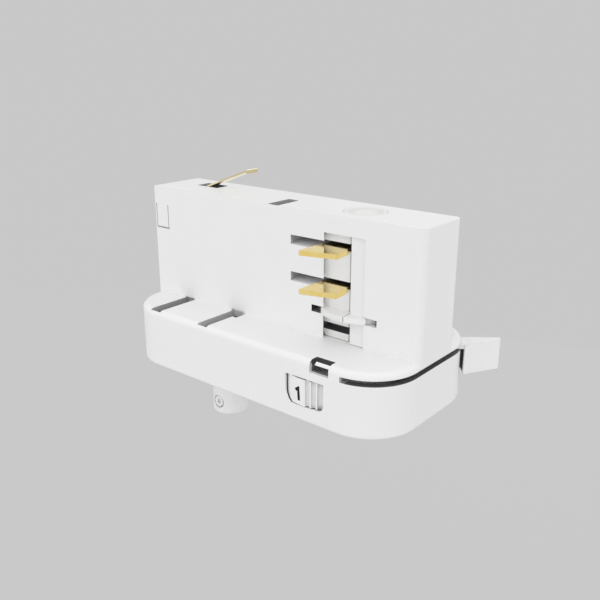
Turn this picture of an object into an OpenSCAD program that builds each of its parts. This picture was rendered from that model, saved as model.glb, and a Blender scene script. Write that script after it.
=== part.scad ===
// Three-circuit track light adapter.
// The tall upper housing goes up into the track and the top of the base seats under it.
// A rotor turns about an upright axis: its lever swings round the end of the base, its flanges
// lock over the lips of the track and its blades reach the conductors on both sides.
// Origin: middle of the base's top face. +X towards the lever, -Y the selector side, +Z up.

/* [Upper housing] */
// Length of the upper housing and the base
body_l = 84.4; // [82:0.2:100]
// Width of the upper housing, which goes through the track's slot
body_w = 16; // [15.4:0.1:18]
// Height of the upper housing above the base
body_h = 29.8; // [29:0.1:36]
// Side wall of the upper housing
body_wall = 1.3; // [1:0.05:1.5]
// Top wall of the upper housing over its hollow
body_roof = 2.4; // [2.2:0.1:3]
// End walls of the upper housing
body_end = 1.6; // [1.2:0.1:2.4]
// Rounding of the upright edges at the lever end
body_end_r = 2; // [1:0.1:3]
// Depth of the key slot in the top, from the selector side
key_reach = 8; // [5:0.1:8.4]
// Width of the key slot
key_w = 3.3; // [2:0.1:4]
// Distance of the key slot from the plain end
key_at = 41; // [38:0.1:42]
// Length of the snap tab at the plain end
tab_l = 4.6; // [3:0.1:6]
// Height of the snap tab
tab_h = 6.6; // [4:0.1:8]
// Height of the snap tab's lower edge above the base
tab_z = 18.8; // [14:0.1:20]
// Width of the slits round the snap tab
slit_w = 0.35; // [0.3:0.05:0.5]

/* [Base] */
// Width of the base
base_w = 41.5; // [40:0.1:46]
// Height of the base
base_h = 15.5; // [15.2:0.1:20]
// Corner radius of the base in plan
base_r = 12.2; // [10:0.1:12.6]
// Rounding of the base's top edge
base_fillet = 1.5; // [1:0.1:1.6]
// Rounding of the base's bottom edge
base_foot = 0.6; // [0.3:0.1:1]
// Side wall of the base
base_wall = 1.8; // [1.5:0.1:2.2]
// Top wall of the base, above the lever's slot
base_top = 1.6; // [1.4:0.1:1.8]
// Thickness of the bottom plate
plate_t = 1.8; // [1.5:0.1:2.4]
// Gap round the bottom plate
plate_gap = 0.1; // [0.05:0.05:0.2]

/* [Base cut-outs] */
// Distance of the first hook slot from the plain end
hook_1_at = 10.45; // [10:0.05:12]
// Width of the first hook slot
hook_1_w = 3.6; // [3:0.1:4]
// Height of the first hook slot's notch in the upper housing
hook_1_h = 0.4; // [0.3:0.05:0.6]
// Distance of the second hook slot from the plain end
hook_2_at = 28.2; // [27:0.1:30]
// Width of the second hook slot
hook_2_w = 3.2; // [2.6:0.1:4]
// Width of the second hook slot's foot, beside the upper housing
hook_2_foot_w = 4.6; // [4.2:0.1:6]
// Length of the foot, out from the upper housing
hook_2_foot_l = 3; // [2:0.1:4]
// Height of the second hook slot's notch in the upper housing
hook_2_h = 0.7; // [0.5:0.05:1]
// Distance of the hook slots from the base's edge
hook_edge = 0.6; // [0.5:0.1:2]
// Depth of the notches in the upper housing
notch_d = 0.8; // [0.6:0.05:0.9]
// Distance of the catch opening from the rotor's axis, towards the lever
catch_at = 0.4; // [0:0.1:1]
// Width of the catch opening
catch_w = 5.2; // [4:0.1:6]
// Depth of the catch opening, in from the selector side
catch_d = 2.8; // [2.4:0.1:4]
// Height of the catch opening, down from the top
catch_h = 2.8; // [2.2:0.1:3.2]
// Width of the bar along the edge of the catch opening
catch_bar = 0.8; // [0.6:0.05:1]
// Gap at the free end of the bar, towards the plain end
catch_free = 1.4; // [1:0.1:1.6]

/* [Rotor] */
// Distance of the rotor's axis from the lever end
rotor_inset = 20.3; // [20:0.1:24]
// How far the rotor's drum would reach past the housing's sides, which open its windows
drum_over = 1.5; // [1.4:0.05:1.6]
// Depth of the rotor's faces below the housing's sides
face_in = 0.5; // [0.4:0.05:0.7]
// Depth of the flats that carry the blades, below the rotor's faces
flat_in = 1.05; // [0.9:0.05:1.2]
// Gap between the rotor and the housing
rotor_gap = 0.3; // [0.25:0.05:0.4]
// Gap over and under the rotor
rotor_play = 0.1; // [0.05:0.05:0.2]
// Radius of the rotor's journals
journal_r = 5.05; // [4:0.05:5.4]
// Radial clearance of the journals
journal_fit = 0.06; // [0.03:0.01:0.09]
// Radius of the dish in the rotor's upper end
dish_r = 4.1; // [2:0.1:4.4]
// Depth of the dish
dish_d = 0.7; // [0.3:0.1:1.2]
// Height of the windows in the upper housing
window_h = 25.5; // [25.4:0.1:26.5]
// Radius of the spindle inside the rotor
spindle_r = 2.8; // [2.4:0.1:3]
// Distance of the rotor's seam from its axis
seam_x = 1.45; // [1.3:0.05:1.7]
// Width of the gap along the rotor's seam
seam_gap = 0.2; // [0.15:0.05:0.3]
// Width of the core's groove beside the seam
seam_groove = 0.9; // [0.6:0.05:1]
// Depth of the gap and the groove, in from the rotor's face
seam_d = 2; // [1:0.1:3]
// How far the locking flanges stand out from the drum
flange_over = 0.8; // [0.5:0.1:1]
// Angle that one locking flange covers
flange_angle = 76; // [60:1:76]
// Thickness of the locking flanges
flange_t = 1.4; // [1:0.1:1.5]
// Height of the locking flanges above the base
flange_z = 6.05; // [5.9:0.05:6.6]
// Room beyond the flanges in their slots in the upper housing
flange_room = 1.9; // [1.4:0.1:2.4]
// Height of the rotor's spare slot above the base
spare_z = 1.8; // [1.4:0.1:2.4]
// Height of the spare slot itself
spare_h = 1.8; // [1.4:0.1:2.2]

/* [Contact blades] */
// Height of the lower blades above the base
blade_z = 12.6; // [12.4:0.1:13.2]
// Distance between the lower and the upper blades
blade_pitch = 8.95; // [8.6:0.05:9.2]
// Thickness of the blades
blade_t = 1.2; // [1:0.1:1.3]
// Reach of the blades from the rotor's axis
blade_reach = 15.9; // [15:0.1:16.2]
// Distance of the blades' trailing edge from the rotor's axis
blade_side = 6.6; // [6:0.1:6.6]
// Width of the blades at their leading corner
blade_w = 8.6; // [8.4:0.1:9]
// Slant of the blades' front edge, back to the leading corner
blade_rake = 2.4; // [1.5:0.1:3]
// Length of the blades' leading edge
blade_nose = 4.4; // [3:0.1:4.6]
// Lean of the blades' leading edge
blade_lean = 0.35; // [0.2:0.05:0.6]
// Width of the blades at the rotor
blade_root_w = 7.2; // [7:0.1:7.8]
// Cut on the corners of the blades' tails
blade_cut = 1.1; // [0.5:0.1:1.5]
// Gap under the blades in their slots
blade_under = 0.3; // [0.3:0.05:0.5]
// Gap over the blades in their slots
blade_over = 0.75; // [0.3:0.05:0.8]
// Depth of the rotor's blade slots
blade_seat = 3.2; // [2.4:0.1:3.4]

/* [Lever] */
// Angle of the lever from the end of the base at rest
lever_angle = 38.5; // [36:0.5:40]
// Turn of the rotor from locked to released
lever_turn = 90; // [80:1:90]
// Thickness of the lever arm
arm_t = 1; // [0.8:0.05:1]
// Gap over and under the lever arm
arm_gap = 0.15; // [0.1:0.05:0.2]
// Width of the lever arm
arm_w = 5.2; // [4:0.1:5.3]
// Radius of the lever arm's hub
hub_r = 6; // [5.5:0.1:7]
// Gap between the lever handle and the corner of the base
handle_gap = 0.3; // [0.3:0.05:0.6]
// Radial length of the lever handle
handle_l = 9.7; // [8:0.1:12]
// Height of the lever handle, whose top is flush with the arm
handle_h = 7.5; // [6:0.1:9]
// Angle that the handle covers at its root
handle_root = 13.5; // [13:0.5:16]
// Angle that the handle covers at its tip
handle_tip = 2.9; // [2:0.1:4]
// Angle from the middle of the lever to the near corner of the handle's tip
handle_skew = 1.5; // [0:0.1:2]
// Slant of the handle's tip
handle_nip = 0.6; // [0.2:0.1:1]
// Length of the lever arm inside the handle
arm_bite = 1.6; // [1:0.1:1.8]
// Free angle at each end of the lever's slot
lever_free = 7.5; // [4:0.5:9]

/* [Circuit selector] */
// Radius of the selector wheel
wheel_r = 14; // [13.4:0.1:14.4]
// Height of the selector wheel
wheel_h = 6.5; // [6:0.1:6.6]
// How far the wheel stands out of the base
wheel_proud = 0.2; // [0:0.05:0.4]
// Distance of the wheel's axis from the rotor's axis, towards the plain end
wheel_at = 1.2; // [0.6:0.1:1.6]
// Width of the selector's window
dial_w = 11; // [10:0.1:11.4]
// Height of the selector's window
dial_h = 6.9; // [6.8:0.1:7.4]
// Depth of the window's top edge below the base's top
dial_z = 4.85; // [4.6:0.05:5.2]
// Rounding of the window's lower corner at the plain end
dial_r_1 = 3; // [1:0.1:3.2]
// Rounding of the window's lower corner at the lever end
dial_r_2 = 1.8; // [1:0.1:3]
// Number of places that the selector has, off and one for each circuit
dial_places = 4; // [3:1:4]
// Angle between two places of the selector
dial_step = 50; // [48:1:54]
// Place that shows at rest, counted from off
dial_shown = 1; // [0:1:2]
// Angle of the shown number from the middle of the window
dial_off = 7.7; // [6:0.1:9]
// Grip grooves between two places
groove_n = 3; // [2:1:3]
// Radius of a grip groove
groove_r = 0.6; // [0.4:0.05:0.65]
// Angle between two grip grooves
groove_step = 6.5; // [6:0.1:7.4]
// Angle from a place's number to its first grip groove
groove_from = 12.4; // [11:0.1:14]
// Radius of the wheel's axle
axle_r = 2; // [1.5:0.1:2.5]
// Radial clearance of the wheel on its axle
axle_fit = 0.06; // [0.03:0.01:0.09]
// Gap under the wheel and round it
wheel_gap = 0.3; // [0.2:0.05:0.4]

/* [Earth contact] */
// Distance of the earth contact's root from the plain end
earth_at = 9.2; // [9:0.1:11]
// Length of the earth strip from its root to its tip
earth_l = 19; // [16:0.1:22]
// Slope of the earth strip at rest
earth_slope = 20.4; // [18:0.1:24]
// Thickness of the earth strip
earth_t = 0.4; // [0.3:0.05:0.5]
// Width of the earth strip
earth_w = 4; // [3:0.1:4.2]
// Distance of the earth strip's middle from the middle of the housing
earth_y = 2.1; // [1.9:0.1:2.4]
// Length of the strip's turned-down tip
earth_tip = 0.9; // [0.6:0.1:1.4]
// Radius of the strip's rolled root
root_r = 0.6; // [0.55:0.05:0.65]
// Radial clearance of the rolled root
root_fit = 0.06; // [0.03:0.01:0.09]
// How far the rolled root reaches into the slot's sides
root_reach = 0.6; // [0.4:0.1:1]
// Depth of the root below the housing's top
root_depth = 1.1; // [1:0.05:1.2]
// Length of the earth strip's slot
earth_slot_l = 7.6; // [7:0.1:8.4]
// Gap at the sides of the earth strip
earth_gap = 0.15; // [0.1:0.05:0.2]

/* [Lamp spigot] */
// Distance of the spigot's axis from the plain end
spigot_at = 18.6; // [17:0.1:22]
// Radius of the spigot
spigot_r = 4.9; // [4.5:0.05:5.5]
// Length of the spigot below the base
spigot_l = 18.4; // [14:0.1:30]
// Radius of the bore for the lamp's stem
stem_r = 3.05; // [2:0.05:3.2]
// Rounding of the spigot's lower edge
spigot_edge = 0.5; // [0.2:0.1:0.8]
// Width of the spigot's shoulder in the bottom plate
shoulder_w = 0.5; // [0.3:0.1:1]
// Depth of the relief groove under the shoulder
relief_d = 0.3; // [0.2:0.1:0.4]
// Height of the relief groove
relief_h = 0.5; // [0.3:0.1:1]
// Radius of the spigot's collar inside the base
collar_r = 8; // [6.5:0.1:9]
// Thickness of the spigot's collar
collar_t = 1.6; // [1.2:0.1:2.5]
// Radius of the grub screw
grub_r = 1.5; // [1.3:0.05:1.8]
// Height of the grub screw above the spigot's lower end
grub_z = 3.5; // [2.8:0.1:6]
// Depth of the grub screw's rim below the spigot's surface
grub_sink = 0.05; // [0.05:0.05:0.4]
// Gap round the grub screw at the mouth of its hole
grub_mouth = 0.4; // [0.3:0.05:0.5]
// Depth of the hole's wider mouth
grub_mouth_d = 1; // [0.6:0.05:1.2]
// Radius of the grub screw's hexagon socket
grub_key_r = 0.8; // [0.6:0.05:1]
// Depth of the hexagon socket
grub_key_d = 0.8; // [0.4:0.05:1]

/* [Case screws] */
// Radius of the case screws' heads
head_r = 2.4; // [2:0.1:2.8]
// Height of the case screws' heads
head_h = 1; // [0.8:0.1:1.2]
// Radius of the case screws' shanks
shank_r = 1.3; // [1:0.1:1.4]
// Length of the cross recess in the screws' heads
recess_l = 2.8; // [2:0.1:3]
// Width of the cross recess
recess_w = 0.6; // [0.4:0.05:0.8]
// Depth of the cross recess
recess_d = 0.6; // [0.4:0.05:0.7]
// Length of the case screws below their heads
shank_l = 8; // [6:0.1:9]
// Radius of the screw posts in the base
post_r = 3; // [2.8:0.1:3.2]
// Distance of the end screws from the plain end
screw_1_at = 5.9; // [5.6:0.1:6.4]
// Distance of the middle screws from the selector's axis, towards the plain end
screw_2_at = 16.4; // [16.2:0.1:18]
// Distance of the end screws from the base's sides
screw_1_in = 12.8; // [12.4:0.1:13.4]
// Distance of the middle screws from the base's sides
screw_2_in = 6.8; // [5.8:0.1:8.4]

/* [Hidden] */
$fn = 64;
eps = 0.01;
far = 100;
rotor_x = body_l / 2 - rotor_inset;
plain_x = -body_l / 2;
roof_z = body_h - body_roof;
cavity_half = body_w / 2 - body_wall;
drum_r = body_w / 2 + drum_over;
bore_r = drum_r + rotor_gap;
face_y = body_w / 2 - face_in;
flat_y = face_y - flat_in;
rotor_top = window_h - rotor_play;
rotor_foot = rotor_play;
arm_z = -base_top - arm_gap - arm_t;
journal_foot = arm_z + arm_t;
dish_ball_r = (pow(dish_r, 2) + pow(dish_d, 2)) / (2 * dish_d);
blade_sweep_r = norm([blade_side, blade_reach]) + rotor_gap;
pocket_half = blade_side + rotor_gap;
slot_h = blade_under + blade_t + blade_over;
flange_r = drum_r + flange_over;
flange_slot_r = flange_r + flange_room;
flange_slot_gap = 0.15;
hollow_to = rotor_x - blade_sweep_r - body_wall;
corner_x = body_l / 2 - base_r;
corner_y = base_w / 2 - base_r;
handle_r = norm([corner_x - rotor_x, corner_y]) + base_r + handle_gap;
handle_z = arm_z + arm_t - handle_h;
arm_end = handle_r + arm_bite;
arm_half_angle = asin(arm_w / 2 / (handle_r - base_wall - 2));
lever_from = lever_angle - lever_turn - arm_half_angle - lever_free;
lever_to = lever_angle + arm_half_angle + lever_free;
wheel_x = rotor_x - wheel_at;
wheel_y = wheel_r - wheel_proud - base_w / 2;
wheel_z = -dial_z - (dial_h + wheel_h) / 2;
plate_z = -base_h + plate_t;
spigot_x = plain_x + spigot_at;
grub_face = sqrt(pow(spigot_r, 2) - pow(grub_r, 2)) - grub_sink;
earth_x = plain_x + earth_at;
earth_z = body_h - root_depth;
earth_slot_w = earth_w + 2 * earth_gap;
levels = [blade_z, blade_z + blade_pitch];
screw_1_x = plain_x + screw_1_at;
screw_2_x = wheel_x - screw_2_at;
screw_1_y = base_w / 2 - screw_1_in;
screw_2_y = base_w / 2 - screw_2_in;
screws = [
    [screw_1_x, screw_1_y],
    [screw_1_x, -screw_1_y],
    [screw_2_x, screw_2_y],
    [screw_2_x, -screw_2_y]
];

// Shared shapes

function polar(r, a) = [r * cos(a), r * sin(a)];

// A pie slice from the axis out to radius r, wide enough to cut through what lies inside it
module slice(r, from, to) {
    steps = ceil((to - from) / 30);
    polygon(concat([[0, 0]],
        [for (i = [0:steps]) polar(r / cos(15), from + (to - from) * i / steps)]));
}

// A flat block with round upright corners
module round_block(l, w, r, z0, z1) {
    translate([0, 0, z0]) {
        translate([-l / 2 + r, -w / 2, 0]) cube([l - 2 * r, w, z1 - z0]);
        translate([-l / 2, -w / 2 + r, 0]) cube([l, w - 2 * r, z1 - z0]);
        for (sx = [-1, 1], sy = [-1, 1])
            translate([sx * (l / 2 - r), sy * (w / 2 - r), 0]) cylinder(r = r, h = z1 - z0);
    }
}

// Half the section of the base, out to radius r, with its edges rounded
module edge_section(r) {
    translate([0, -base_h + base_foot]) square([r, base_h - base_foot - base_fillet]);
    translate([0, -base_h]) square([r - base_foot, base_foot + eps]);
    translate([r - base_foot, -base_h + base_foot]) circle(base_foot);
    translate([0, -base_fillet - eps]) square([r - base_fillet, base_fillet + eps]);
    translate([r - base_fillet, -base_fillet]) circle(base_fillet);
}

// Plan of the upper housing, with its corners rounded at the lever end only
module body_plan() {
    translate([plain_x, -body_w / 2]) square([body_l - body_end_r, body_w]);
    translate([0, -body_w / 2 + body_end_r]) square([body_l / 2, body_w - 2 * body_end_r]);
    for (s = [-1, 1])
        translate([body_l / 2 - body_end_r, s * (body_w / 2 - body_end_r)]) circle(body_end_r);
}

// Outer form of the base: its top edge is rounded, except under the ends of the upper housing,
// which run straight down into it
module base_form() {
    rotate([90, 0, 90]) linear_extrude(2 * corner_x, center = true) {
        edge_section(base_w / 2);
        mirror([1, 0]) edge_section(base_w / 2);
    }
    rotate([90, 0, 0]) linear_extrude(2 * corner_y, center = true) {
        edge_section(body_l / 2);
        mirror([1, 0]) edge_section(body_l / 2);
    }
    for (sx = [-1, 1], sy = [-1, 1])
        translate([sx * corner_x, sy * corner_y, 0]) rotate_extrude() edge_section(base_r);
    translate([0, 0, -2 * base_fillet]) linear_extrude(2 * base_fillet) body_plan();
}

// Cuts a shape back to what lies between the housing's side walls
module between_walls() {
    intersection() {
        children();
        translate([-far, -cavity_half, -far]) cube([2 * far, 2 * cavity_half, 2 * far]);
    }
}

// Section of the rotor: a drum with its sides cut flat, and on each side a deeper flat for the
// blades, from the seam to the drum's trailing side
module rotor_section() {
    difference() {
        intersection() {
            circle(drum_r);
            square(2 * face_y, center = true);
        }
        for (a = [0, 180]) rotate(a)
            translate([-far, -far]) square([far + seam_x, far - flat_y]);
    }
}

// One side's locking flange, seen from above
module flange_section() {
    intersection() {
        circle(flange_r);
        for (a = [-90, 90]) rotate(a) slice(flange_r, -flange_angle / 2, flange_angle / 2);
    }
}

// Rotor with its flanges and slots, before it is parted at the seam
module rotor_form() {
    difference() {
        union() {
            translate([0, 0, rotor_foot]) linear_extrude(rotor_top - rotor_foot) rotor_section();
            translate([0, 0, flange_z]) linear_extrude(flange_t) flange_section();
        }
        for (a = [0, 180], z = levels) rotate(a) slot_cut(z, blade_t + blade_over - 0.1);
        for (a = [0, 180]) rotate(a) slot_cut(spare_z, spare_h);
    }
}

// A slot across the flat that carries the blades
module slot_cut(z, h) {
    translate([-far, -far, z]) cube([far + seam_x, far - flat_y + blade_seat, h]);
}

// Outline of a contact blade: a sharp trailing corner, a front edge that slants back so that it
// slides onto the conductor, and a tail that sits in the rotor's slot
module blade_section() {
    lead_x = blade_w - blade_side;
    lead_y = blade_rake - blade_reach;
    root_x = blade_root_w - blade_side;
    tail_y = blade_seat - flat_y;
    polygon([
        [-blade_side, -flat_y],
        [-blade_side, -blade_reach],
        [lead_x, lead_y],
        [lead_x - blade_lean, lead_y + blade_nose],
        [root_x, -flat_y],
        [root_x - blade_cut, tail_y],
        [blade_cut - blade_side, tail_y]
    ]);
}

module blade(side, z) {
    color("goldenrod") translate([rotor_x, 0, z]) rotate(side) linear_extrude(blade_t)
        blade_section();
}

// Window of the selector, straight along its top and round at its lower corners
module dial_section() {
    difference() {
        translate([-dial_w / 2, -dial_h]) square([dial_w, dial_h]);
        translate([-dial_w / 2, -dial_h]) square(dial_r_1);
        translate([dial_w / 2 - dial_r_2, -dial_h]) square(dial_r_2);
    }
    translate([-dial_w / 2 + dial_r_1, -dial_h + dial_r_1]) circle(dial_r_1);
    translate([dial_w / 2 - dial_r_2, -dial_h + dial_r_2]) circle(dial_r_2);
}

// Hook slots from near the base's edge to the upper housing; each ends in a notch in its wall
module hook_slots() {
    start_y = -base_w / 2 + hook_edge;
    end_y = notch_d - body_w / 2;
    translate([plain_x + hook_1_at, start_y, -base_top - eps])
        cube([hook_1_w, end_y - start_y, base_top + hook_1_h + eps]);
    translate([plain_x + hook_2_at, start_y, -base_top - eps])
        cube([hook_2_w, end_y - start_y, base_top + hook_2_h + eps]);
    translate([plain_x + hook_2_at, -body_w / 2 - hook_2_foot_l, -base_top - eps])
        cube([hook_2_foot_w, hook_2_foot_l + notch_d, base_top + hook_2_h + eps]);
}

// Outline of the lever handle about the rotor's axis: a wedge with a radial far side
module handle_section() {
    difference() {
        polygon([
            polar(handle_r - 2, lever_angle - handle_root / 2),
            polar(handle_r, lever_angle - handle_root / 2),
            polar(handle_r + handle_l - handle_nip, lever_angle + handle_skew),
            polar(handle_r + handle_l, lever_angle + handle_skew + handle_tip),
            polar(handle_r, lever_angle + handle_root / 2),
            polar(handle_r - 2, lever_angle + handle_root / 2)
        ]);
        circle(handle_r);
    }
}

// Outline of the lever arm about the rotor's axis: a hub with a straight arm, which narrows to a
// tongue inside the handle
module arm_section() {
    circle(hub_r);
    rotate(lever_angle) polygon([
        [0, -arm_w / 2],
        [handle_r, -arm_w / 2],
        [arm_end, -arm_w / 4],
        [arm_end, arm_w / 4],
        [handle_r, arm_w / 2],
        [0, arm_w / 2]
    ]);
}

// Cross recess in the underside of a screw's head
module cross_recess() {
    for (a = [0, 90]) rotate(a)
        translate([-recess_l / 2, -recess_w / 2, -1]) cube([recess_l, recess_w, recess_d + 1]);
}

// Sub-parts

module upper_housing() {
    color("white") difference() {
        linear_extrude(body_h) body_plan();
        // Hollow of the plain end, open to the base
        translate([plain_x + body_end, -cavity_half, -1])
            cube([hollow_to - plain_x - body_end, 2 * cavity_half, roof_z + 1]);
        translate([rotor_x, 0, 0]) {
            // Bore of the rotor, which opens a window in each side, with a wider foot that lets
            // the flanges in from below
            translate([0, 0, -1]) cylinder(r = bore_r, h = window_h + 1);
            between_walls() translate([0, 0, -1])
                cylinder(r = flange_r + rotor_gap, h = flange_z + flange_t + flange_slot_gap + 1);
            translate([0, 0, window_h - 1])
                cylinder(r = journal_r + journal_fit, h = body_h);
            // Slots that the blades sweep through when they fold into the housing
            for (a = [0, 180], z = levels) rotate(a) translate([0, 0, z - blade_under])
                intersection() {
                    cylinder(r = blade_sweep_r, h = slot_h);
                    translate([-far, -far, -1]) cube([far, far + pocket_half, slot_h + 2]);
                }
            translate([0, 0, flange_z - flange_slot_gap])
                cylinder(r = flange_slot_r, h = flange_t + 2 * flange_slot_gap);
        }
        hook_slots();
        // Slot and pivot seat of the earth strip
        translate([earth_x - root_r - root_fit, earth_y - earth_slot_w / 2, roof_z - 1])
            cube([earth_slot_l, earth_slot_w, body_h]);
        translate([earth_x, earth_y, earth_z]) rotate([90, 0, 0])
            cylinder(r = root_r + root_fit, h = earth_slot_w + 2 * root_reach, center = true);
        // Key slot in the top
        translate([plain_x + key_at, -body_w / 2 + 0.3, roof_z - 1])
            cube([key_w, key_reach, body_h]);
        // Slits that free the snap tab on three sides
        translate([plain_x + slit_w, -body_w / 2 - 1, tab_z - slit_w]) {
            cube([tab_l + slit_w, body_wall + 2, slit_w]);
            cube([slit_w, body_wall + 2, tab_h]);
            translate([tab_l, 0, 0]) cube([slit_w, body_wall + 2, tab_h]);
        }
    }
}

module base_shell() {
    post_z = plate_z;
    color("white") difference() {
        union() {
            difference() {
                base_form();
                round_block(body_l - 2 * base_wall, base_w - 2 * base_wall, base_r - base_wall,
                    -base_h - 1, -base_top);
            }
            for (s = screws) translate([s.x, s.y, post_z])
                cylinder(r = post_r, h = -base_top - post_z + eps);
        }
        for (s = screws) translate([s.x, s.y, post_z - 1])
            cylinder(r = shank_r, h = shank_l - plate_t + head_h + 2);
        // Lower bearing of the rotor
        translate([rotor_x, 0, -base_top - 1])
            cylinder(r = journal_r + journal_fit, h = base_top + 2);
        // Slot that the lever arm swings through
        translate([rotor_x, 0, arm_z - arm_gap])
            linear_extrude(arm_t + 2 * arm_gap) slice(handle_r + 2, lever_from, lever_to);
        hook_slots();
        // Catch opening, with a sprung bar along the edge that is free at its plain end
        translate([rotor_x + catch_at, -base_w / 2 + catch_bar, -catch_h])
            cube([catch_w, catch_d - catch_bar, catch_h + 1]);
        translate([rotor_x + catch_at, -base_w / 2 - 1, -catch_h])
            cube([catch_w, catch_d + 1, catch_h - catch_bar]);
        translate([rotor_x + catch_at, -base_w / 2 - 1, -catch_h])
            cube([catch_free, catch_d + 1, catch_h + 1]);
        // Window of the selector and room for its wheel
        translate([wheel_x, -base_w / 2, -dial_z]) rotate([90, 0, 0])
            linear_extrude(2 * base_wall + 2, center = true) dial_section();
        translate([wheel_x, wheel_y, -dial_z - dial_h])
            cylinder(r = wheel_r + wheel_gap, h = dial_h);
    }
}

module bottom_plate() {
    color("white") {
        difference() {
            round_block(body_l - 2 * base_wall - 2 * plate_gap, base_w - 2 * base_wall - 2 * plate_gap,
                base_r - base_wall - plate_gap, -base_h, plate_z);
            for (s = screws) translate([s.x, s.y, -base_h - 1]) {
                cylinder(r = shank_r + 0.2, h = plate_t + 2);
                cylinder(r = head_r + 0.2, h = head_h + 1);
            }
            translate([spigot_x, 0, -base_h - 1])
                cylinder(r = spigot_r + shoulder_w + plate_gap, h = plate_t + 2);
        }
        // Axle of the selector wheel, with a shoulder that carries it
        translate([wheel_x, wheel_y, plate_z - eps]) {
            cylinder(r = axle_r, h = wheel_z + wheel_h - plate_z);
            cylinder(r = axle_r + 1.5, h = wheel_z - wheel_gap - plate_z);
        }
    }
}

module spigot() {
    foot = -base_h - spigot_l;
    color("white") translate([spigot_x, 0, 0]) difference() {
        rotate_extrude() {
            translate([stem_r, foot + spigot_edge])
                square([spigot_r - stem_r, spigot_l - spigot_edge - relief_h]);
            translate([stem_r, -base_h - relief_h - eps])
                square([spigot_r - relief_d - stem_r, relief_h + 2 * eps]);
            translate([stem_r, foot]) square([spigot_r - stem_r - spigot_edge, 2 * spigot_edge]);
            translate([spigot_r - spigot_edge, foot + spigot_edge]) circle(spigot_edge);
            translate([stem_r, -base_h])
                square([spigot_r + shoulder_w - stem_r, plate_t + eps]);
            translate([stem_r, plate_z]) square([collar_r - stem_r, collar_t]);
        }
        translate([0, 0, foot + grub_z]) rotate([90, 0, 0]) {
            cylinder(r = grub_r, h = far);
            translate([0, 0, spigot_r - grub_mouth_d]) cylinder(r = grub_r + grub_mouth, h = far);
        }
    }
}

module grub_screw() {
    color("whitesmoke") translate([spigot_x, 0, -base_h - spigot_l + grub_z]) difference() {
        translate([0, -stem_r - eps, 0]) rotate([90, 0, 0])
            cylinder(r = grub_r, h = grub_face - stem_r - eps);
        translate([0, grub_key_d - grub_face, 0]) rotate([90, 0, 0])
            cylinder(r = grub_key_r, h = grub_key_d + eps, $fn = 6);
    }
}

module rotor_core() {
    groove_y = face_y - seam_d;
    color("ivory") translate([rotor_x, 0, 0]) difference() {
        union() {
            intersection() {
                rotor_form();
                translate([-far, -far, 0]) cube([far + seam_x, 2 * far, far]);
            }
            // Journals at both ends, joined by the spindle
            translate([0, 0, rotor_top]) cylinder(r = journal_r, h = body_h - rotor_top);
            translate([0, 0, journal_foot]) cylinder(r = journal_r, h = rotor_foot - journal_foot);
            translate([0, 0, journal_foot]) cylinder(r = spindle_r, h = rotor_top - journal_foot + 1);
        }
        translate([0, 0, body_h - dish_d + dish_ball_r]) sphere(dish_ball_r);
        translate([0, 0, journal_foot - 1]) cylinder(r = shank_r, h = shank_l + 1);
        // Groove beside the seam on both sides, above and below the flanges
        for (side = [-groove_y - far, groove_y], z = [flange_z - far, flange_z + flange_t])
            translate([seam_x - seam_groove, side, z]) cube([seam_groove + 1, far, far]);
    }
}

module rotor_cover() {
    groove_y = face_y - seam_d;
    color("white") translate([rotor_x, 0, 0]) difference() {
        intersection() {
            rotor_form();
            translate([seam_x, -far, 0]) cube([far, 2 * far, far]);
        }
        translate([0, 0, -1]) cylinder(r = spindle_r, h = far);
        // Gap along the seam on both sides
        translate([seam_x - 1, groove_y, -1]) cube([seam_gap + 1, far, far]);
        translate([seam_x - 1, -groove_y - far, -1]) cube([seam_gap + 1, far, far]);
    }
}

module blade_near_low() { blade(0, levels[0]); }

module blade_near_high() { blade(0, levels[1]); }

module blade_far_low() { blade(180, levels[0]); }

module blade_far_high() { blade(180, levels[1]); }

module lever_arm() {
    color("white") translate([rotor_x, 0, arm_z]) difference() {
        linear_extrude(arm_t) arm_section();
        translate([0, 0, -eps]) cylinder(r = shank_r, h = arm_t + 2 * eps);
    }
}

module lever_handle() {
    color("white") translate([rotor_x, 0, 0]) difference() {
        translate([0, 0, handle_z]) linear_extrude(handle_h) handle_section();
        translate([0, 0, arm_z]) linear_extrude(arm_t) arm_section();
    }
}

module lever_screw() {
    color("silver") translate([rotor_x, 0, arm_z]) {
        translate([0, 0, -head_h]) difference() {
            cylinder(r = head_r, h = head_h);
            cross_recess();
        }
        cylinder(r = shank_r, h = arm_t + shank_l - 1);
    }
}

module selector_wheel() {
    color("white") translate([wheel_x, wheel_y, wheel_z]) difference() {
        cylinder(r = wheel_r, h = wheel_h);
        translate([0, 0, -1]) cylinder(r = axle_r + axle_fit, h = wheel_h + 2);
        for (place = [0:dial_places - 1], i = [0:groove_n - 1])
            rotate(-90 - dial_off + (place - dial_shown) * dial_step + groove_from + i * groove_step)
                translate([wheel_r, 0, -1]) cylinder(r = groove_r, h = wheel_h + 2, $fn = 24);
    }
}

module earth_strip() {
    color("goldenrod") translate([earth_x, earth_y, earth_z]) rotate([90, 0, 0]) {
        cylinder(r = root_r, h = earth_slot_w + 2 * root_reach - 0.2, center = true);
        linear_extrude(earth_w, center = true) rotate(earth_slope) {
            translate([0, -earth_t / 2]) square([earth_l, earth_t]);
            translate([earth_l, 0]) rotate(-earth_slope - 90)
                translate([-earth_t / 2, -earth_t / 2]) square([earth_tip, earth_t]);
        }
    }
}

module case_screw(i) {
    color("silver") translate([screws[i].x, screws[i].y, -base_h]) {
        difference() {
            translate([0, 0, eps]) cylinder(r = head_r, h = head_h - eps);
            cross_recess();
        }
        translate([0, 0, head_h - eps]) cylinder(r = shank_r, h = shank_l);
    }
}

module case_screw_1() { case_screw(0); }

module case_screw_2() { case_screw(1); }

module case_screw_3() { case_screw(2); }

module case_screw_4() { case_screw(3); }

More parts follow.
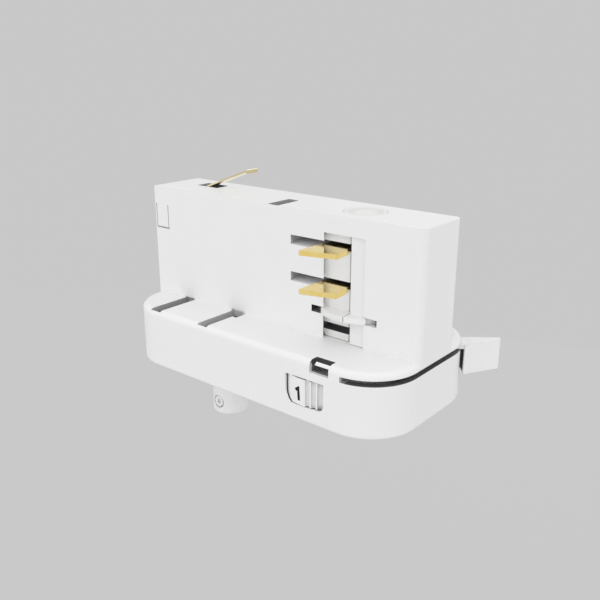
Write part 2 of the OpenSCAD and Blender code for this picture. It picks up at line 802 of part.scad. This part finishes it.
upper_housing();
base_shell();
bottom_plate();
spigot();
grub_screw();
rotor_core();
rotor_cover();
blade_near_low();
blade_near_high();
blade_far_low();
blade_far_high();
lever_arm();
lever_handle();
lever_screw();
selector_wheel();
earth_strip();
case_screw_1();
case_screw_2();
case_screw_3();
case_screw_4();
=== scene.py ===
import math

import bmesh
import bpy
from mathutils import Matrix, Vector


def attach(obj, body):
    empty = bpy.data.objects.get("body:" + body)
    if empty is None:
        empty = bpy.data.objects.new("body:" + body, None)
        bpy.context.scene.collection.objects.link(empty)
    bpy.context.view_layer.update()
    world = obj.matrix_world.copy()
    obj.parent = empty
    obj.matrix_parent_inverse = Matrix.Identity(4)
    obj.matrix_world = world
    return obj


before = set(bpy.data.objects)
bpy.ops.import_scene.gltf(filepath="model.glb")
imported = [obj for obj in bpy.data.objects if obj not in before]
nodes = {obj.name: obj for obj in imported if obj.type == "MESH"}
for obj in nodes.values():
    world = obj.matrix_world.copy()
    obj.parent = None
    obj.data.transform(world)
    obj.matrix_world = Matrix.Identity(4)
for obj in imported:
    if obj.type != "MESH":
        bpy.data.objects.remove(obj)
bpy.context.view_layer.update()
scene = bpy.context.scene
scene.view_settings.view_transform = "Standard"

# Viewpoint and studio
# The adapter hangs free as it does under a ceiling track, seen from a little above its
# selector side and lever end, in an even grey room with two broad soft lamps.

LOOK_DOWN = 18.45
LOOK_ROUND = 39.5
camera = bpy.data.objects.new("viewpoint", bpy.data.cameras.new("viewpoint"))
camera.location = (0.115393, -0.136884, 0.063597)
camera.rotation_euler = (math.radians(90 - LOOK_DOWN), 0, math.radians(LOOK_ROUND))
camera.data.sensor_width = 36
camera.data.lens = 44.195
camera.data.clip_start = 0.01
scene.collection.objects.link(camera)
scene.camera = camera

ROOM_GREY = (0.578, 0.578, 0.578, 1)
ROOM_LEVEL = 0.93
ROOM_LEAN = (0.13, -0.225, 0.1)
FLOOR_RADIUS = 30
FLOOR_HEIGHT = -0.32
FLOOR_PAINT = (0.7, 0.7, 0.7, 1)
FLOOR_GREY = (0.557, 0.557, 0.557, 1)
FLOOR_EVENNESS = 0.85


def seen_directly(tree):
    """How far a ray comes from the eye, a polished surface or glass, and not from soft light."""
    path = tree.nodes.new("ShaderNodeLightPath")
    glossy = tree.nodes.new("ShaderNodeMath")
    glossy.operation = "MAXIMUM"
    clear = tree.nodes.new("ShaderNodeMath")
    clear.operation = "MAXIMUM"
    tree.links.new(path.outputs["Is Camera Ray"], glossy.inputs[0])
    tree.links.new(path.outputs["Is Glossy Ray"], glossy.inputs[1])
    tree.links.new(glossy.outputs[0], clear.inputs[0])
    tree.links.new(path.outputs["Is Transmission Ray"], clear.inputs[1])
    return clear.outputs[0]


room = bpy.data.worlds.new("even_room")
room.use_nodes = True
scene.world = room
room.node_tree.nodes.clear()
room_out = room.node_tree.nodes.new("ShaderNodeOutputWorld")
room_mix = room.node_tree.nodes.new("ShaderNodeMixShader")
room_light = room.node_tree.nodes.new("ShaderNodeBackground")
room_light.inputs["Color"].default_value = (1, 1, 1, 1)
# The room is lighter above and on the selector side, as from a wide window
room_way = room.node_tree.nodes.new("ShaderNodeTexCoord")
room_side = room.node_tree.nodes.new("ShaderNodeVectorMath")
room_side.operation = "DOT_PRODUCT"
room_side.inputs[1].default_value = ROOM_LEAN
room_level = room.node_tree.nodes.new("ShaderNodeMath")
room_level.inputs[1].default_value = ROOM_LEVEL
room.node_tree.links.new(room_way.outputs["Generated"], room_side.inputs[0])
room.node_tree.links.new(room_side.outputs["Value"], room_level.inputs[0])
room.node_tree.links.new(room_level.outputs[0], room_light.inputs["Strength"])
room_seen = room.node_tree.nodes.new("ShaderNodeBackground")
room_seen.inputs["Color"].default_value = ROOM_GREY
room.node_tree.links.new(seen_directly(room.node_tree), room_mix.inputs["Fac"])
room.node_tree.links.new(room_light.outputs[0], room_mix.inputs[1])
room.node_tree.links.new(room_seen.outputs[0], room_mix.inputs[2])
room.node_tree.links.new(room_mix.outputs[0], room_out.inputs["Surface"])

floor_mesh = bpy.data.meshes.new("floor")
floor_shape = bmesh.new()
bmesh.ops.create_circle(floor_shape, cap_ends=True, segments=96, radius=FLOOR_RADIUS)
floor_shape.to_mesh(floor_mesh)
floor_shape.free()
floor = bpy.data.objects.new("floor", floor_mesh)
floor.location = (0, 0, FLOOR_HEIGHT)
scene.collection.objects.link(floor)
floor_paint = bpy.data.materials.new("floor_paint")
floor_paint.use_nodes = True
floor_tree = floor_paint.node_tree
floor_tree.nodes.clear()
floor_out = floor_tree.nodes.new("ShaderNodeOutputMaterial")
floor_mix = floor_tree.nodes.new("ShaderNodeMixShader")
floor_share = floor_tree.nodes.new("ShaderNodeMath")
floor_share.operation = "MULTIPLY"
floor_share.inputs[1].default_value = FLOOR_EVENNESS
floor_matt = floor_tree.nodes.new("ShaderNodeBsdfDiffuse")
floor_matt.inputs["Color"].default_value = FLOOR_PAINT
floor_even = floor_tree.nodes.new("ShaderNodeEmission")
floor_even.inputs["Color"].default_value = FLOOR_GREY
floor_tree.links.new(seen_directly(floor_tree), floor_share.inputs[0])
floor_tree.links.new(floor_share.outputs[0], floor_mix.inputs["Fac"])
floor_tree.links.new(floor_matt.outputs[0], floor_mix.inputs[1])
floor_tree.links.new(floor_even.outputs[0], floor_mix.inputs[2])
floor_tree.links.new(floor_mix.outputs[0], floor_out.inputs["Surface"])
floor_mesh.materials.append(floor_paint)


def soft_lamp(name, place, aim, width, watts):
    """A square lamp that shines from place towards aim."""
    lamp = bpy.data.objects.new(name, bpy.data.lights.new(name, "AREA"))
    lamp.data.shape = "SQUARE"
    lamp.data.size = width
    lamp.data.energy = watts
    lamp.location = place
    lamp.rotation_euler = (Vector(aim) - Vector(place)).to_track_quat("-Z", "Y").to_euler()
    lamp.visible_camera = False
    scene.collection.objects.link(lamp)
    return lamp


PART_MIDDLE = (0, 0, 0)
BLADE_MIDDLE = (0, 0, 0.02)
STRIP_MIDDLE = (-0.03, 0, 0.03)
soft_lamp("broad_lamp", place=(-0.22, -0.82, 0.36), aim=PART_MIDDLE, width=0.6, watts=0.25)
soft_lamp("back_lamp", place=(-0.25, 0.82, 0.02), aim=PART_MIDDLE, width=0.6, watts=0.45)
# Three pale cards that only the polished brass mirrors
polished = bpy.data.collections.new("polished")
for card in (
    soft_lamp("rear_card", place=(-0.50, 0.60, 0.32), aim=BLADE_MIDDLE, width=0.6, watts=1.2),
    soft_lamp("low_card", place=(-0.53, 0.59, -0.15), aim=STRIP_MIDDLE, width=0.5, watts=0.15),
    soft_lamp("front_card", place=(-0.10, -0.66, -0.21), aim=BLADE_MIDDLE, width=0.5, watts=0.17),
):
    card.visible_diffuse = False
    card.light_linking.receiver_collection = polished

# Base shell and bottom plate
# Two white polycarbonate mouldings, a tub and a plate let into its skirt. The mould's
# spark-eroded skin leaves a fine grain that keeps the gloss low; deep slots and gaps get painted
# shade.

# A moulded skin: fine grain, tone that differs at random, and painted shade in gaps and slots
SKIN = bpy.data.node_groups.new("moulded_skin_and_painted_shade", "ShaderNodeTree")
for label, kind, value in (
    ("Colour", "NodeSocketColor", (0.8, 0.8, 0.8, 1)),
    ("Tone", "NodeSocketFloat", 0.02),
    ("Gloss loss", "NodeSocketFloat", 0.45),
    ("Grain size", "NodeSocketFloat", 4000.0),
    ("Gap reach", "NodeSocketFloat", 0.003),
    ("Gap onset", "NodeSocketFloat", 0.46),
    ("Shade", "NodeSocketFloat", 1.0),
    ("Seen", "NodeSocketFloat", 1.0),
):
    SKIN.interface.new_socket(label, in_out="INPUT", socket_type=kind).default_value = value
SKIN.interface.new_socket("Colour", in_out="OUTPUT", socket_type="NodeSocketColor")
SKIN.interface.new_socket("Roughness", in_out="OUTPUT", socket_type="NodeSocketFloat")
SKIN.interface.new_socket("Height", in_out="OUTPUT", socket_type="NodeSocketFloat")
skin_in = SKIN.nodes.new("NodeGroupInput")
skin_out = SKIN.nodes.new("NodeGroupOutput")
skin_place = SKIN.nodes.new("ShaderNodeTexCoord")
skin_grain = SKIN.nodes.new("ShaderNodeTexNoise")
skin_grain.inputs["Detail"].default_value = 3
skin_cloud = SKIN.nodes.new("ShaderNodeTexNoise")
skin_cloud.inputs["Scale"].default_value = 60
skin_cloud.inputs["Detail"].default_value = 4
skin_swing = SKIN.nodes.new("ShaderNodeMapRange")
skin_swing.inputs["To Min"].default_value = -1
skin_depth = SKIN.nodes.new("ShaderNodeMath")
skin_depth.operation = "MULTIPLY"
skin_level = SKIN.nodes.new("ShaderNodeMath")
skin_level.inputs[1].default_value = 1
skin_tint = SKIN.nodes.new("ShaderNodeVectorMath")
skin_tint.operation = "SCALE"
# Painted shade: where ambient occlusion within Gap reach falls below Gap onset the colour darkens,
# and the Shade input darkens it further
skin_open = SKIN.nodes.new("ShaderNodeAmbientOcclusion")
skin_open.samples = 32
skin_gap_shade = SKIN.nodes.new("ShaderNodeMapRange")
skin_gap_shade.inputs["From Min"].default_value = 0.2
skin_gap_shade.inputs["To Min"].default_value = 0.06
skin_painted_shade = SKIN.nodes.new("ShaderNodeMath")
skin_painted_shade.operation = "MULTIPLY"
# The painted shade shows only to the eye, polished surfaces and glass; light that a moulding
# throws on its neighbours stays that of the plain white
skin_seen = SKIN.nodes.new("ShaderNodeMix")
skin_seen.inputs[2].default_value = 1
skin_shade = SKIN.nodes.new("ShaderNodeVectorMath")
skin_shade.operation = "SCALE"
skin_rough = SKIN.nodes.new("ShaderNodeMath")
skin_rough.operation = "MULTIPLY_ADD"
skin_rough.inputs[1].default_value = 0.08
SKIN.links.new(skin_place.outputs["Object"], skin_grain.inputs["Vector"])
SKIN.links.new(skin_place.outputs["Object"], skin_cloud.inputs["Vector"])
SKIN.links.new(skin_in.outputs["Grain size"], skin_grain.inputs["Scale"])
SKIN.links.new(skin_cloud.outputs["Fac"], skin_swing.inputs["Value"])
SKIN.links.new(skin_swing.outputs["Result"], skin_depth.inputs[0])
SKIN.links.new(skin_in.outputs["Tone"], skin_depth.inputs[1])
SKIN.links.new(skin_depth.outputs[0], skin_level.inputs[0])
SKIN.links.new(skin_in.outputs["Colour"], skin_tint.inputs[0])
SKIN.links.new(skin_level.outputs[0], skin_tint.inputs["Scale"])
SKIN.links.new(skin_swing.outputs["Result"], skin_rough.inputs[0])
SKIN.links.new(skin_in.outputs["Gloss loss"], skin_rough.inputs[2])
SKIN.links.new(skin_in.outputs["Gap reach"], skin_open.inputs["Distance"])
SKIN.links.new(skin_open.outputs["AO"], skin_gap_shade.inputs["Value"])
SKIN.links.new(skin_in.outputs["Gap onset"], skin_gap_shade.inputs["From Max"])
SKIN.links.new(skin_tint.outputs[0], skin_shade.inputs[0])
SKIN.links.new(skin_gap_shade.outputs["Result"], skin_painted_shade.inputs[0])
SKIN.links.new(skin_in.outputs["Shade"], skin_painted_shade.inputs[1])
SKIN.links.new(skin_in.outputs["Seen"], skin_seen.inputs[0])
SKIN.links.new(skin_painted_shade.outputs[0], skin_seen.inputs[3])
SKIN.links.new(skin_seen.outputs[0], skin_shade.inputs["Scale"])
SKIN.links.new(skin_shade.outputs[0], skin_out.inputs["Colour"])
SKIN.links.new(skin_rough.outputs[0], skin_out.inputs["Roughness"])
SKIN.links.new(skin_grain.outputs["Fac"], skin_out.inputs["Height"])


def moulding(
    name, colour, gloss_loss=0.45, tone=0.012, grain=3500.0, relief=0.06,
    gap_reach=0.0012, gap_onset=0.46, ease=0,
):
    """A matt moulded plastic with the mould's grain and painted shade in gaps within gap_reach;
    its edges look rounded by the radius ease.
    """
    plastic = bpy.data.materials.new(name)
    plastic.use_nodes = True
    tree = plastic.node_tree
    surface = tree.nodes["Principled BSDF"]
    surface.inputs["IOR"].default_value = 1.5
    surface.inputs["Specular IOR Level"].default_value = 0.2
    skin = tree.nodes.new("ShaderNodeGroup")
    skin.node_tree = SKIN
    skin.name = SKIN.name
    skin.inputs["Colour"].default_value = (*colour, 1)
    skin.inputs["Tone"].default_value = tone
    skin.inputs["Gloss loss"].default_value = gloss_loss
    skin.inputs["Grain size"].default_value = grain
    skin.inputs["Gap reach"].default_value = gap_reach
    skin.inputs["Gap onset"].default_value = gap_onset
    bump = tree.nodes.new("ShaderNodeBump")
    bump.inputs["Strength"].default_value = relief
    bump.inputs["Distance"].default_value = 0.00005
    if ease:
        eased = tree.nodes.new("ShaderNodeBevel")
        eased.samples = 6
        eased.inputs["Radius"].default_value = ease
        tree.links.new(eased.outputs["Normal"], bump.inputs["Normal"])
    tree.links.new(seen_directly(tree), skin.inputs["Seen"])
    tree.links.new(skin.outputs["Colour"], surface.inputs["Base Color"])
    tree.links.new(skin.outputs["Roughness"], surface.inputs["Roughness"])
    tree.links.new(skin.outputs["Height"], bump.inputs["Height"])
    tree.links.new(bump.outputs["Normal"], surface.inputs["Normal"])
    return plastic


# Painted shade in boxes: inside a box, given in the object's own space, the colour is darkened by
# Darkness
SHADE_BOX = bpy.data.node_groups.new("recess", "ShaderNodeTree")
for label in ("Low corner", "High corner"):
    SHADE_BOX.interface.new_socket(label, in_out="INPUT", socket_type="NodeSocketVector")
for label in ("Darkness", "Before"):
    SHADE_BOX.interface.new_socket(label, in_out="INPUT", socket_type="NodeSocketFloat")
SHADE_BOX.interface.new_socket("Shade", in_out="OUTPUT", socket_type="NodeSocketFloat")
recess_in = SHADE_BOX.nodes.new("NodeGroupInput")
recess_out = SHADE_BOX.nodes.new("NodeGroupOutput")
recess_place = SHADE_BOX.nodes.new("ShaderNodeTexCoord")
recess_from_low = SHADE_BOX.nodes.new("ShaderNodeVectorMath")
recess_from_low.operation = "SUBTRACT"
recess_to_high = SHADE_BOX.nodes.new("ShaderNodeVectorMath")
recess_to_high.operation = "SUBTRACT"
recess_least = SHADE_BOX.nodes.new("ShaderNodeVectorMath")
recess_least.operation = "MINIMUM"
recess_axes = SHADE_BOX.nodes.new("ShaderNodeSeparateXYZ")
recess_flat = SHADE_BOX.nodes.new("ShaderNodeMath")
recess_flat.operation = "MINIMUM"
recess_depth = SHADE_BOX.nodes.new("ShaderNodeMath")
recess_depth.operation = "MINIMUM"
recess_inside = SHADE_BOX.nodes.new("ShaderNodeMath")
recess_inside.operation = "GREATER_THAN"
recess_inside.inputs[1].default_value = 0
recess_loss = SHADE_BOX.nodes.new("ShaderNodeMath")
recess_loss.operation = "MULTIPLY"
recess_left = SHADE_BOX.nodes.new("ShaderNodeMath")
recess_left.operation = "SUBTRACT"
SHADE_BOX.links.new(recess_place.outputs["Object"], recess_from_low.inputs[0])
SHADE_BOX.links.new(recess_in.outputs["Low corner"], recess_from_low.inputs[1])
SHADE_BOX.links.new(recess_in.outputs["High corner"], recess_to_high.inputs[0])
SHADE_BOX.links.new(recess_place.outputs["Object"], recess_to_high.inputs[1])
SHADE_BOX.links.new(recess_from_low.outputs[0], recess_least.inputs[0])
SHADE_BOX.links.new(recess_to_high.outputs[0], recess_least.inputs[1])
SHADE_BOX.links.new(recess_least.outputs[0], recess_axes.inputs[0])
SHADE_BOX.links.new(recess_axes.outputs["X"], recess_flat.inputs[0])
SHADE_BOX.links.new(recess_axes.outputs["Y"], recess_flat.inputs[1])
SHADE_BOX.links.new(recess_flat.outputs[0], recess_depth.inputs[0])
SHADE_BOX.links.new(recess_axes.outputs["Z"], recess_depth.inputs[1])
SHADE_BOX.links.new(recess_depth.outputs[0], recess_inside.inputs[0])
SHADE_BOX.links.new(recess_inside.outputs[0], recess_loss.inputs[0])
SHADE_BOX.links.new(recess_in.outputs["Darkness"], recess_loss.inputs[1])
SHADE_BOX.links.new(recess_in.outputs["Before"], recess_left.inputs[0])
SHADE_BOX.links.new(recess_loss.outputs[0], recess_left.inputs[1])
SHADE_BOX.links.new(recess_left.outputs[0], recess_out.inputs["Shade"])


def paint_box_shade(plastic, *recesses):
    """Paints shade into boxes of a moulding, each a low and a high corner in millimetres and a
    darkness.
    """
    tree = plastic.node_tree
    shade = None
    for low, high, darkness in recesses:
        recess = tree.nodes.new("ShaderNodeGroup")
        recess.node_tree = SHADE_BOX
        recess.inputs["Low corner"].default_value = [side / 1000 for side in low]
        recess.inputs["High corner"].default_value = [side / 1000 for side in high]
        recess.inputs["Darkness"].default_value = darkness
        recess.inputs["Before"].default_value = 1
        if shade:
            tree.links.new(shade, recess.inputs["Before"])
        shade = recess.outputs["Shade"]
    tree.links.new(shade, tree.nodes[SKIN.name].inputs["Shade"])
    return plastic


def dress(material, *names):
    """Gives CAD pieces their finish."""
    for name in names:
        nodes[name].data.materials.clear()
        nodes[name].data.materials.append(material)


# Boxes of painted shade, each with its darkness: the hook slots, the catch pocket and the lever
# slot
OUTER_HOOK_SLOT = ((-31.78, -20.2, -1.62), (-28.12, -7.1, -0.03), 0.52)
INNER_HOOK_SLOT = ((-14.03, -20.2, -1.62), (-10.77, -7.1, -0.03), 0.36)
CATCH_UPPER_BACK = ((22.27, -19.93, -1.3), (27.53, -17.92, -0.03), 0.93)
CATCH_LOWER_BACK = ((22.27, -19.93, -2.83), (27.53, -17.92, -1.3), 0.86)
CATCH_FRONT = ((22.27, -20.8, -2.83), (27.53, -19.93, -0.82), 0.3)
CATCH_RIM = ((22.27, -20.8, -0.82), (22.4, -19.93, -0.05), 0.8)
LEVER_SLOT_END = ((30.3, -20.73, -2.93), (31.6, -7.1, -1.57), 0.6)
LEVER_SLOT = ((31.6, -20.73, -2.93), (45, 18, -1.57), 0.88)
base_white = paint_box_shade(
    moulding("base_white", colour=(0.86, 0.86, 0.86)),
    OUTER_HOOK_SLOT, INNER_HOOK_SLOT,
    CATCH_UPPER_BACK, CATCH_LOWER_BACK, CATCH_FRONT, CATCH_RIM,
    LEVER_SLOT_END, LEVER_SLOT,
)
dress(base_white, "base_shell", "bottom_plate")

# Upper housing
# The tall white box that goes up into the track, of the same plastic as the base, with windows
# for the rotor. Slots in its roof open into the hollow and get painted shade, as does the flange
# slot; those in its walls catch the light.

# Boxes of painted shade: the roof slots, the slot under the earth strip and the flange slot beside
# the rotor
ROOF_SLOTS = ((-41, -7.75, 27), (8, 7.75, 29.77), 0.6)
EARTH_SLOT = ((-32.2, -0.2, 27), (-25.9, 4.4, 29.77), 0.34)
FLANGE_SLOT = ((8, -7.95, 5.88), (21.9, 7.95, 7.62), 0.8)
housing_white = paint_box_shade(
    moulding("housing_white", colour=(0.86, 0.86, 0.86), gap_reach=0.0005),
    ROOF_SLOTS, EARTH_SLOT, FLANGE_SLOT,
)
dress(housing_white, "upper_housing")

# Rotor
# Core and cover are two white mouldings that clip together round the blades; the core is of a
# heat-proof grade, a little duller than the housing.

# Boxes of painted shade on the core: the spare slot, the two blade slots, and the top dish,
# darkest towards its rim
SPARE_SLOT = ((0, -6.43, 1.78), (23.4, 6.43, 3.62), 0.9)
LOW_BLADE_SLOT = ((0, -6.43, 12.58), (23.4, 6.43, 14.47), 0.93)
HIGH_BLADE_SLOT = ((0, -6.43, 21.53), (23.4, 6.43, 23.42), 0.93)
DISH = ((17.6, -4.3, 29.35), (26.2, 4.3, 29.785), 0.05)
DISH_RIM = ((17.6, -4.3, 29.55), (26.2, 4.3, 29.785), 0.05)
rotor_ivory = paint_box_shade(
    moulding("rotor_ivory", colour=(0.835, 0.83, 0.82), gloss_loss=0.5),
    SPARE_SLOT, LOW_BLADE_SLOT, HIGH_BLADE_SLOT, DISH, DISH_RIM,
)
dress(rotor_ivory, "rotor_core")
rotor_white = moulding("rotor_white", colour=(0.86, 0.86, 0.86), gloss_loss=0.42)
dress(rotor_white, "rotor_cover")

# Contact blades and earth strip
# Stamped from hard bright brass; the press leaves fine lines along each strip, and the
# surface has tarnished a little unevenly.

LINES_ALONG = 200
LINES_ACROSS = 9000


def stamped_brass(name, along, dull, bright):
    """Brass between two colours, with fine rolling lines along one axis, from x, y or z."""
    brass = bpy.data.materials.new(name)
    brass.use_nodes = True
    tree = brass.node_tree
    surface = tree.nodes["Principled BSDF"]
    surface.inputs["Metallic"].default_value = 1
    place = tree.nodes.new("ShaderNodeTexCoord")
    stretch = tree.nodes.new("ShaderNodeMapping")
    stretch.inputs["Scale"].default_value = [
        LINES_ALONG if axis == along else LINES_ACROSS for axis in "xyz"
    ]
    lines = tree.nodes.new("ShaderNodeTexNoise")
    lines.inputs["Scale"].default_value = 1
    lines.inputs["Detail"].default_value = 2
    stain = tree.nodes.new("ShaderNodeTexNoise")
    stain.inputs["Scale"].default_value = 350
    stain.inputs["Detail"].default_value = 3
    shade = tree.nodes.new("ShaderNodeValToRGB")
    shade.color_ramp.elements[0].position = 0.3
    shade.color_ramp.elements[0].color = (*dull, 1)
    shade.color_ramp.elements[1].position = 0.7
    shade.color_ramp.elements[1].color = (*bright, 1)
    polish = tree.nodes.new("ShaderNodeMapRange")
    polish.inputs["To Min"].default_value = 0.08
    polish.inputs["To Max"].default_value = 0.16
    bump = tree.nodes.new("ShaderNodeBump")
    bump.inputs["Strength"].default_value = 0.12
    bump.inputs["Distance"].default_value = 0.00003
    tree.links.new(place.outputs["Object"], stretch.inputs["Vector"])
    tree.links.new(stretch.outputs["Vector"], lines.inputs["Vector"])
    tree.links.new(place.outputs["Object"], stain.inputs["Vector"])
    tree.links.new(stain.outputs["Fac"], shade.inputs["Fac"])
    tree.links.new(shade.outputs["Color"], surface.inputs["Base Color"])
    tree.links.new(lines.outputs["Fac"], polish.inputs["Value"])
    tree.links.new(polish.outputs["Result"], surface.inputs["Roughness"])
    tree.links.new(lines.outputs["Fac"], bump.inputs["Height"])
    tree.links.new(bump.outputs["Normal"], surface.inputs["Normal"])
    return brass


BLADES = ("blade_near_low", "blade_near_high", "blade_far_low", "blade_far_high")
blade_brass = stamped_brass(
    "blade_brass", along="y", dull=(0.92, 0.70, 0.23), bright=(0.96, 0.78, 0.35)
)
earth_brass = stamped_brass(
    "earth_brass", along="x", dull=(0.94, 0.80, 0.44), bright=(0.97, 0.86, 0.54)
)
dress(blade_brass, *BLADES)
dress(earth_brass, "earth_strip")
for name in (*BLADES, "earth_strip"):
    # The white mouldings beside it take no yellow cast from the brass
    nodes[name].visible_diffuse = False
    polished.objects.link(nodes[name])

# Lever
# A white moulded arm under the rotor carries the handle; a zinc-plated screw holds it. The
# handle's inner face, close against the base's corner, gets painted shade.

# Box of painted shade on the handle's inner face
HANDLE_INNER_FACE = ((38.9, 13.6, -9.24), (41.7, 17.2, -2.85), 0.85)
lever_white = paint_box_shade(
    moulding("lever_white", colour=(0.86, 0.86, 0.86), gloss_loss=0.42, ease=0.0003),
    HANDLE_INNER_FACE,
)
dress(lever_white, "lever_arm", "lever_handle")
zinc_plate = bpy.data.materials.new("zinc_plate")
zinc_plate.use_nodes = True
zinc_tree = zinc_plate.node_tree
zinc_surface = zinc_tree.nodes["Principled BSDF"]
zinc_surface.inputs["Metallic"].default_value = 1
zinc_place = zinc_tree.nodes.new("ShaderNodeTexCoord")
zinc_spangle = zinc_tree.nodes.new("ShaderNodeTexVoronoi")
zinc_spangle.inputs["Scale"].default_value = 1500
zinc_shade = zinc_tree.nodes.new("ShaderNodeValToRGB")
zinc_shade.color_ramp.elements[0].color = (0.50, 0.51, 0.52, 1)
zinc_shade.color_ramp.elements[1].color = (0.62, 0.63, 0.64, 1)
zinc_polish = zinc_tree.nodes.new("ShaderNodeMapRange")
zinc_polish.inputs["To Min"].default_value = 0.28
zinc_polish.inputs["To Max"].default_value = 0.42
zinc_tree.links.new(zinc_place.outputs["Object"], zinc_spangle.inputs["Vector"])
zinc_tree.links.new(zinc_spangle.outputs["Color"], zinc_shade.inputs["Fac"])
zinc_tree.links.new(zinc_shade.outputs["Color"], zinc_surface.inputs["Base Color"])
zinc_tree.links.new(zinc_spangle.outputs["Distance"], zinc_polish.inputs["Value"])
zinc_tree.links.new(zinc_polish.outputs["Result"], zinc_surface.inputs["Roughness"])
dress(zinc_plate, "lever_screw")

# Circuit selector
# A white moulded wheel that turns behind its window, with grip grooves beside each number. The
# numbers of the circuits, and 0 for off, are printed on its rim in black.

# Painted shade darkens the grip grooves: gap_onset 0.8 lets milder occlusion darken the colour
selector_white = moulding(
    "selector_white", colour=(0.87, 0.87, 0.87), gloss_loss=0.4, gap_reach=0.0015, gap_onset=0.8
)
dress(selector_white, "selector_wheel")

WHEEL_AXIS = Vector((0.0207, -0.00695))
WHEEL_RADIUS = 0.014
PLACE_STEP = math.radians(50)
SHOWN_PLACE = math.radians(-97.7)
NUMBER_MIDDLE = -0.009
INK_WIDTH = 0.00072
INK_LIFT = 0.00002
JOINED_ENDS = 1e-7
SHARPEST_MITRE = 0.4
CUTS = 4


def arc(middle, radius, begin, end, height=1.0, steps=20):
    """Points along a round stroke, in millimetres; height stretches it upright."""
    turns = [math.radians(begin + (end - begin) * i / steps) for i in range(steps + 1)]
    return [
        (middle[0] + radius * math.cos(t), middle[1] + radius * height * math.sin(t))
        for t in turns
    ]


# The strokes of 0, 1, 2 and 3, in millimetres from each number's middle
NUMBERS = (
    [arc((0, 0), 0.85, 0, 360, height=1.6 / 0.85, steps=40)],
    [[(-0.5, 0.85), (0.4, 1.45), (0.62, -1.5)]],
    [arc((0, 0.75), 0.85, 165, -35) + [(-0.85, -1.5), (0.95, -1.5)]],
    [arc((-0.05, 0.8), 0.72, 155, -90), arc((-0.05, -0.76), 0.84, 90, -155)],
)

ink_black = bpy.data.materials.new("ink_black")
ink_black.use_nodes = True
ink_tree = ink_black.node_tree
ink_surface = ink_tree.nodes["Principled BSDF"]
ink_surface.inputs["Roughness"].default_value = 0.55
ink_surface.inputs["Specular IOR Level"].default_value = 0.2
ink_place = ink_tree.nodes.new("ShaderNodeTexCoord")
ink_spread = ink_tree.nodes.new("ShaderNodeTexNoise")
ink_spread.inputs["Scale"].default_value = 6000
ink_shade = ink_tree.nodes.new("ShaderNodeValToRGB")
ink_shade.color_ramp.elements[0].color = (0.005, 0.005, 0.005, 1)
ink_shade.color_ramp.elements[1].color = (0.014, 0.014, 0.014, 1)
ink_tree.links.new(ink_place.outputs["Object"], ink_spread.inputs["Vector"])
ink_tree.links.new(ink_spread.outputs["Fac"], ink_shade.inputs["Fac"])
ink_tree.links.new(ink_shade.outputs["Color"], ink_surface.inputs["Base Color"])


def on_rim(place_angle, across, up):
    """The point on the wheel's rim that lies across and up from a number's middle."""
    turn = place_angle + across / WHEEL_RADIUS
    reach = WHEEL_RADIUS + INK_LIFT
    flat = WHEEL_AXIS + reach * Vector((math.cos(turn), math.sin(turn)))
    return flat.x, flat.y, NUMBER_MIDDLE + up


def ink_stroke(shape, points, place_angle):
    """A ribbon of ink along the points, which are in millimetres, with mitred bends."""
    path = [Vector(point) / 1000 for point in points]
    closed = (path[0] - path[-1]).length < JOINED_ENDS
    if closed:
        path.pop()
    edges = []
    for i, here in enumerate(path):
        before = path[i - 1] if closed or i else None
        after = path[(i + 1) % len(path)] if closed or i + 1 < len(path) else None
        ways = [
            (b - a).normalized()
            for a, b in ((before, here), (here, after))
            if a is not None and b is not None
        ]
        along = sum(ways, Vector((0, 0))).normalized()
        side = Vector((-along.y, along.x))
        half = INK_WIDTH / 2 / max(SHARPEST_MITRE, along.dot(ways[0]))
        edges.append([
            shape.verts.new(on_rim(place_angle, *(here + half * s * side))) for s in (1, -1)
        ])
    spans = zip(edges, edges[1:] + edges[:1]) if closed else zip(edges, edges[1:])
    for (left, right), (next_left, next_right) in spans:
        shape.faces.new((left, right, next_right, next_left))


for place, strokes in enumerate(NUMBERS):
    number_shape = bmesh.new()
    for points in strokes:
        # Long straight stretches are cut so that they follow the rim
        fine = [points[0]]
        for a, b in zip(points, points[1:]):
            fine += [tuple(Vector(a).lerp(Vector(b), i / CUTS)) for i in range(1, CUTS + 1)]
        ink_stroke(number_shape, fine, SHOWN_PLACE + (place - 1) * PLACE_STEP)
    number_mesh = bpy.data.meshes.new(f"number_{place}")
    number_shape.to_mesh(number_mesh)
    number_shape.free()
    number_mesh.materials.append(ink_black)
    number = bpy.data.objects.new(f"number_{place}", number_mesh)
    scene.collection.objects.link(number)
    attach(number, "selector")

# Lamp spigot
# A turned metal tube with white powder paint, and a white side screw with a hexagon socket.

# Painted gap shade here reaches only 0.2 mm
spigot_paint = moulding(
    "spigot_paint", colour=(0.85, 0.85, 0.85), gloss_loss=0.38, grain=1600.0, relief=0.1,
    gap_reach=0.0002,
)
dress(spigot_paint, "spigot", "grub_screw")

# Case screws
# Zinc-plated screws that hold the bottom plate, sunk flush in its counterbores.

dress(zinc_plate, "case_screw_1", "case_screw_2", "case_screw_3", "case_screw_4")
